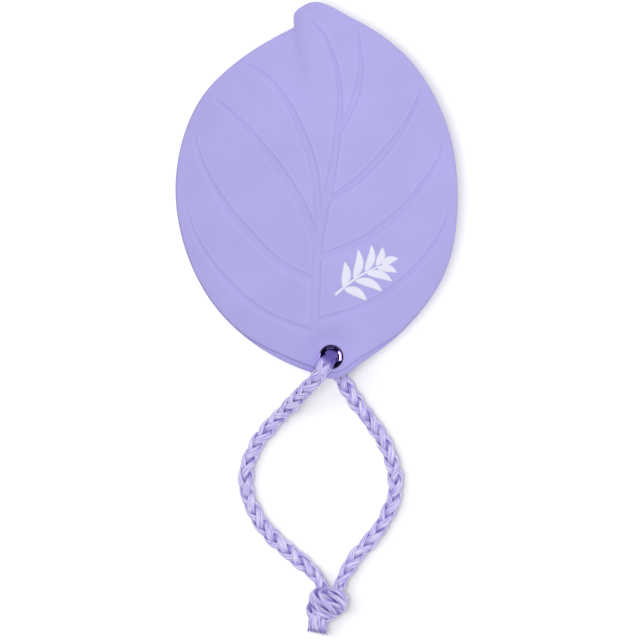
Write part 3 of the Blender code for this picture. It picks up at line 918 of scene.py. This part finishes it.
def cover_surface(points, inset):
    """World height of the cover's finished top, and the painted light there: highlights beside veins,
    shade in them.
    """
    veins, brims = vein_relief(points)
    inside = smoothstep(0.8 * MM, 3.5 * MM, inset)
    veins = veins * inside
    beside_rim = 1.0 - flushness(points)
    height = cover_low.z + dome_height(spread(points))
    height = height - rounded_edge(inset) * (1.0 - SEAM_FLATTENING * beside_rim)
    height = height + fold_height(points) * smoothstep(0.0, 1.5 * MM, inset)
    height = height - VEIN_DEPTH * veins
    away = np.linalg.norm(points - EYELET, axis=1)
    level = np.exp(-(np.maximum(away - LIP_RADIUS - 0.2 * MM, 0.0) / SEAT_SPREAD) ** 2)
    level = level * smoothstep(0.2 * MM, 2.6 * MM, inset)
    height = height * (1.0 - level) + (SEAT_LEVEL + 0.25 * MM) * level
    # painted light: a painted highlight along each vein's brim, painted shade in the vein
    return height, (0.55 * brims * inside - 0.10 * veins) * (1.0 - level)


def flushness(points):
    """1 where the cover reaches the pad's edge, 0 low down where the pad's rim shows."""
    return smoothstep(-56 * MM, -44 * MM, points[:, 1])


def cover_outline():
    """The cover's edge: flush with the pad round the tip, set back from it lower down."""
    outline = leaf_outline(OUTLINE_COUNT)
    return outline * (CAD_INSET + (FLUSH_INSET - CAD_INSET) * flushness(outline))[:, None]


def hidden_rings():
    """Share and height of each ring out of sight: from the hollow's roof down to the edge."""
    rings = [(1.0 - inset / MEAN_RADIUS, cover_low.z + lift * MM)
             for inset, lift in ((0.0, 0.22), (0.06, 0.06), (0.25, 0.0))]
    mouth = CAVITY_SCALE / CAD_INSET
    rings.append((mouth, cover_low.z))
    for angle in np.linspace(0.0, pi / 2, 12)[:-1]:
        scale = mouth * cos(angle)
        rings.append((scale, cover_low.z + float(dome_height(np.array(scale))) - COVER_WALL))
    return rings[::-1]


def leaf_cover():
    """The hollow cover, its top finely gridded from the edge to the middle."""
    outline = cover_outline()
    tangent = unit(np.roll(outline, -1, axis=0) - np.roll(outline, 1, axis=0))
    spokes = outline - GRID_CENTRE
    straight = np.abs(tangent[:, 0] * spokes[:, 1] - tangent[:, 1] * spokes[:, 0])
    edge = 1.0 - np.array(EDGE_INSETS) / MEAN_RADIUS
    shares = np.concatenate([edge, np.linspace(edge[-1], 0.0, SURFACE_RINGS)[1:-1]])
    grid = np.vstack([GRID_CENTRE + spokes * share for share in shares])
    inset = ((1.0 - shares[:, None]) * straight[None, :]).ravel()
    height, wear_and_painted_light = cover_surface(grid, inset)
    crown_height, _ = cover_surface(GRID_CENTRE[None, :], np.full(1, 40 * MM))
    hidden = hidden_rings()
    below = [np.column_stack([GRID_CENTRE + spokes * scale, np.full(OUTLINE_COUNT, level)])
             for scale, level in hidden]
    centres = [(*GRID_CENTRE, hidden[0][1]), (*GRID_CENTRE, crown_height[0])]
    verts = np.vstack([*below, np.column_stack([grid, height]), centres])
    count = len(hidden) + len(shares)
    faces = ring_faces(count, OUTLINE_COUNT) + end_fans(count, OUTLINE_COUNT)
    painted_relief = np.zeros(len(verts))
    start = len(hidden) * OUTLINE_COUNT
    # painted shade in the veins, a painted highlight beside them, and a paler band just inside the edge
    painted_relief[start:start + len(grid)] = wear_and_painted_light + 0.25 * np.exp(-((inset / MM - 0.9) / 0.5) ** 2)
    cover = piece("leaf_cover_skin", verts, faces, rubber, COMB, "grip_rubber", "leaf_cover")
    store_floats(cover.data, "painted_relief", painted_relief)
    outward_normals(cover)
    cut_hole(cover, cover_low.z)


def outward_normals(target):
    bm = bmesh.new()
    bm.from_mesh(target.data)
    bmesh.ops.recalc_face_normals(bm, faces=bm.faces)
    bm.to_mesh(target.data)
    bm.free()


def cut_hole(target, level):
    """The round hole that the eyelet's barrel fills."""
    bm = bmesh.new()
    radius = BARREL_RADIUS + HOLE_PLAY
    bmesh.ops.create_cone(bm, cap_ends=True, segments=96, radius1=radius, radius2=radius,
                          depth=60 * MM)
    mesh = bpy.data.meshes.new("hole_cutter")
    bm.to_mesh(mesh)
    bm.free()
    cutter = add_object("hole_cutter", mesh)
    cutter.location = (*EYELET, level)
    apply_boolean(target, cutter, "DIFFERENCE")


def apply_boolean(target, other, operation):
    """Joins or cuts target with the other object, which is then removed."""
    modifier = target.modifiers.new("join", "BOOLEAN")
    modifier.operation = operation
    modifier.object = other
    modifier.solver = "MANIFOLD"
    bpy.context.view_layer.update()
    evaluated = target.evaluated_get(bpy.context.evaluated_depsgraph_get())
    mesh = bpy.data.meshes.new_from_object(evaluated)
    target.modifiers.remove(modifier)
    target.data = mesh
    bpy.data.objects.remove(other, do_unlink=True)


leaf_cover()


# ---------------- tooth pad

PAD_ROUND = 0.7 * MM
TOOTH_HEIGHT = 8.0 * MM
TOOTH_ROOT = 0.4 * MM  # how deep a tooth reaches into the plate
PAD_BOTTOM = pad_low.z + TOOTH_HEIGHT
PAD_TOP = PAD_BOTTOM + 3.0 * MM
TOOTH_ROWS = (0.88, 0.70, 0.52, 0.34, 0.17)
TOOTH_PITCH = 9.0 * MM
TOOTHLESS_RADIUS = 12.5 * MM
TOOTH_SIDES = 28
PLATE_SIDES = 720
RIB_OUTER, RIB_INNER = 0.765, 0.725  # the locating rib, as shares of the outline
RIB_TOP = PAD_TOP + 2 * MM


def pad_plate():
    """The plate, whose rim stands up beside the cover where the cover is set back."""
    outline = leaf_outline(PLATE_SIDES)
    low_down = 1.0 - flushness(outline)
    top = PAD_TOP + (cover_low.z + RIM_HEIGHT - PAD_TOP) * low_down
    gap = CAD_INSET + 0.0008
    gap = gap + (0.984 - gap) * (1.0 - low_down)
    soft = (0.6 + 1.0 * low_down) * MM
    inner = 0.03 * MM
    mean_radius = MEAN_RADIUS * MM
    rings = [(1.0 - PAD_ROUND * (1 - sin(angle)) / mean_radius,
              PAD_BOTTOM + PAD_ROUND * (1 - cos(angle))) for angle in np.linspace(0.0, pi / 2, 6)]
    rings += [(1.0 - soft * (1 - cos(angle)) / mean_radius, top - soft * 0.8 * (1 - sin(angle)))
              for angle in np.linspace(0.0, pi / 2, 8)]
    rings += [(gap + inner / mean_radius, top), (gap, top - inner), (gap, PAD_TOP),
              (RIB_OUTER, PAD_TOP), (RIB_OUTER, RIB_TOP), (RIB_INNER, RIB_TOP), (RIB_INNER, PAD_TOP)]
    stacked = [np.column_stack([outline * np.broadcast_to(scale, (PLATE_SIDES,))[:, None],
                                np.broadcast_to(level, (PLATE_SIDES,))]) for scale, level in rings]
    verts = np.vstack([*stacked, [(0.0, 0.0, PAD_BOTTOM), (0.0, 0.0, PAD_TOP)]])
    return verts, ring_faces(len(rings), PLATE_SIDES) + end_fans(len(rings), PLATE_SIDES)


def tooth_spots():
    """Rows of teeth that follow the outline, alternate rows set half a pitch along."""
    outline = leaf_outline(1200)
    spots = [np.zeros(2)]
    for row, scale in enumerate(TOOTH_ROWS):
        ring = np.vstack([outline, outline[:1]]) * scale
        ring = np.column_stack([ring, np.zeros(len(ring))])
        count = round(lengths_along(ring)[-1] / TOOTH_PITCH)
        spots += list(evenly_spaced(ring, 2 * count + 1)[:-1, :2][row % 2::2])
    return [spot for spot in spots if np.linalg.norm(spot - EYELET) > TOOTHLESS_RADIUS]


def tooth_profile():
    """Radius and height of a tooth: rounded flat tip, slight taper, filleted root."""
    tip, neck, root = 1.1 * MM, 1.85 * MM, 2.6 * MM
    tip_round = 0.35 * MM
    taper_top, fillet_start, fillet_height = 6.6 * MM, 6.9 * MM, 1.1 * MM
    points = [(tip - tip_round, 0.0)]
    for angle in np.linspace(pi / 8, pi / 2, 4):
        points.append((tip - tip_round * (1 - sin(angle)), tip_round * (1 - cos(angle))))
    for share in (0.25, 0.5, 0.75):
        points.append((tip + (neck - tip) * share, taper_top * share + tip_round * (1 - share)))
    for angle in np.linspace(0.0, pi / 2, 6):
        points.append((root - (root - neck) * cos(angle),
                       fillet_start + fillet_height * sin(angle)))
    points.append((root, TOOTH_HEIGHT + TOOTH_ROOT))
    return points


def tooth_pad():
    """The plate and its teeth, joined into one moulding."""
    verts, faces = pad_plate()
    pad = piece("tooth_pad_skin", verts, faces, tooth_rubber, COMB, "tooth_rubber", "tooth_pad")
    outward_normals(pad)
    profile = [(radius, pad_low.z + height) for radius, height in tooth_profile()]
    all_verts, all_faces = [], []
    for number, spot in enumerate(tooth_spots()):
        first = number * len(profile) * TOOTH_SIDES
        all_verts.append(turned_rings(spot, profile, TOOTH_SIDES))
        all_faces += ring_faces(len(profile), TOOTH_SIDES, first)
        all_faces += end_caps(len(profile), TOOTH_SIDES, first)
    mesh = bpy.data.meshes.new("teeth")
    mesh.from_pydata(np.vstack(all_verts).tolist(), [], all_faces)
    teeth = add_object("teeth", mesh)
    outward_normals(teeth)
    apply_boolean(pad, teeth, "UNION")
    cut_hole(pad, PAD_BOTTOM)
    pad.data.shade_smooth()
    pad.data.set_sharp_from_angle(angle=radians(40))


tooth_pad()


# ---------------- eyelet and washer

TURNED_SIDES = 112
MOUTH_RADIUS = 2.50 * MM
THROAT_RADIUS = 2.18 * MM


def turned_piece(name, profile, node):
    """A ring turned round the eyelet's axis from a closed outline of (radius, height) pairs."""
    verts = turned_rings(EYELET, profile, TURNED_SIDES)
    faces = ring_faces(len(profile), TURNED_SIDES, closed=True)
    made = piece(name, verts, faces, dark_metal, COMB, "dark_metal", node)
    outward_normals(made)
    made.data.shade_smooth()
    made.data.set_sharp_from_angle(angle=radians(50))
    return made


def rolled_profile():
    """The eyelet's section: rolled lip, a funnel down to the throat, and the clinched edge."""
    top, bottom = eyelet_high.z, eyelet_low.z
    lip_inner = 3.05 * MM
    clinch_inner = 2.75 * MM
    profile = [(BARREL_RADIUS, top - LIP_HEIGHT), (LIP_RADIUS - 0.06 * MM, top - LIP_HEIGHT)]
    middle, half = (LIP_RADIUS + lip_inner) / 2, (LIP_RADIUS - lip_inner) / 2
    for angle in np.linspace(0.0, 0.88 * pi, 13):
        profile.append((middle + half * cos(angle),
                        top - (LIP_HEIGHT - 0.1 * MM) * (1 - sin(angle) ** 0.8)))
    for radius, depth in ((3.02, 0.32), (2.89, 0.38), (2.76, 0.44), (2.64, 0.50), (2.54, 0.62)):
        profile.append((radius * MM, top - depth * MM))
    profile += [(MOUTH_RADIUS, top - 1.0 * MM), (MOUTH_RADIUS, top - 3.0 * MM),
                (THROAT_RADIUS, top - 4.5 * MM), (THROAT_RADIUS, bottom + 2.0 * MM),
                (2.70 * MM, bottom + 0.9 * MM)]
    middle, half = (LIP_RADIUS + clinch_inner) / 2, (LIP_RADIUS - clinch_inner) / 2
    for angle in np.linspace(pi, 2 * pi, 12):
        profile.append((middle + half * cos(angle), bottom + 0.45 * MM * (1 + sin(angle))))
    profile.append((BARREL_RADIUS, bottom + 0.5 * MM))
    return profile


def washer_profile():
    """The washer's section: a flat ring with softened edges."""
    low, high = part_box("eyelet_washer")
    inner, outer = BARREL_RADIUS + 0.3 * MM, (high.x - low.x) / 2
    soft = 0.18 * MM
    profile = []
    for centre_r, centre_z, start in ((outer - soft, high.z - soft, 0.0),
                                      (inner + soft, high.z - soft, pi / 2),
                                      (inner + soft, low.z + soft, pi),
                                      (outer - soft, low.z + soft, 1.5 * pi)):
        for angle in np.linspace(start, start + pi / 2, 5):
            profile.append((centre_r + soft * cos(angle), centre_z + soft * sin(angle)))
    return profile


eyelet = turned_piece("eyelet_rolled", rolled_profile(), "eyelet")
turned_piece("eyelet_washer_turned", washer_profile(), "eyelet_washer")


# ---------------- printed sprig

SPRIG_CENTRE = np.array((14.6, -27.2)) * MM
SPRIG_TILT = radians(30.0)
SPRIG_LENGTH = 21.5 * MM
LEAFLET_PAIRS = ((0.14, 7.8), (0.34, 9.2), (0.54, 8.4), (0.72, 6.2))  # place, length in mm
INK_THICKNESS = 0.035 * MM
INK_SINK = 0.12 * MM


def add_print(parts, centreline, half_widths):
    """A thin closed film of ink along a centreline, laid on the cover's surface."""
    lanes = np.linspace(-1.0, 1.0, 7)
    heading = unit(np.gradient(centreline, axis=0))
    side = np.column_stack([-heading[:, 1], heading[:, 0]])
    flat = centreline[:, None, :] + lanes[None, :, None] * (half_widths[:, None] * side)[:, None, :]
    flat = flat.reshape(-1, 2)
    level, _ = cover_surface(flat, np.full(len(flat), 10 * MM))
    rounding = np.tile((1.0 - np.abs(lanes) ** 4) * 0.02 * MM, len(centreline))
    upper = np.column_stack([flat, level + INK_THICKNESS + rounding])
    lower = np.column_stack([flat, level - INK_SINK])
    index = np.arange(len(flat)).reshape(len(centreline), len(lanes))
    quads = np.stack([index[:-1, :-1], index[1:, :-1], index[1:, 1:], index[:-1, 1:]], axis=-1)
    quads = quads.reshape(-1, 4)
    film = np.stack([quads, quads[:, ::-1] + len(flat)], axis=1).reshape(-1, 4)
    border = np.concatenate([index[0], index[1:, -1], index[-1, -2::-1], index[-2:0:-1, 0]])
    after = np.roll(border, -1)
    walls = np.stack([border, after, after + len(flat), border + len(flat)], axis=1)
    faces = film.tolist() + walls.tolist()
    parts.add(np.vstack([upper, lower]), faces, (0.0, 0.0, 0.0))


def printed_sprig():
    """A plain white sprig: a curved stem with paired leaflets and one at its end."""
    parts = Parts()
    turn = np.array(((cos(SPRIG_TILT), sin(SPRIG_TILT)), (-sin(SPRIG_TILT), cos(SPRIG_TILT))))

    def placed(points):
        return SPRIG_CENTRE + points @ turn

    def stem_point(share):
        x = (share - 0.5) * SPRIG_LENGTH
        return np.array((x, 1.3 * MM * sin(pi * share) - 0.8 * MM))

    stem = np.array([stem_point(share) for share in np.linspace(0.0, 0.80, 26)])
    add_print(parts, placed(stem), np.linspace(0.42, 0.26, 26) * MM)

    def leaflet(root, angle, length, width):
        t = np.linspace(0.0, 1.0, 15)
        bend = 0.12 * np.sin(pi * t) * length * (1 if angle > 0 else -1)
        local = np.column_stack([t * length, -bend])
        spin = np.array(((cos(angle), sin(angle)), (-sin(angle), cos(angle))))
        shape = np.sin(pi * np.clip(t, 0.02, 0.985) ** 0.85) ** 0.8
        add_print(parts, placed(root + local @ spin), np.maximum(width * shape, 0.05 * MM))

    for pair, (share, length) in enumerate(LEAFLET_PAIRS):
        for sign in (1, -1):
            root = stem_point(share) + np.array((0.5 * MM, sign * 0.55 * MM))
            leaflet(root, sign * radians(56 - 5 * pair), length * MM, (1.50 - 0.08 * pair) * MM)
    leaflet(stem_point(0.83), radians(-8.0), 5.4 * MM, 1.25 * MM)
    outward_normals(parts.piece("printed_sprig", ink, COMB, "grip_rubber"))


printed_sprig()
make_lights(floor, [top_strand, under_strand, knot, upper_tail, lower_tail], [eyelet])
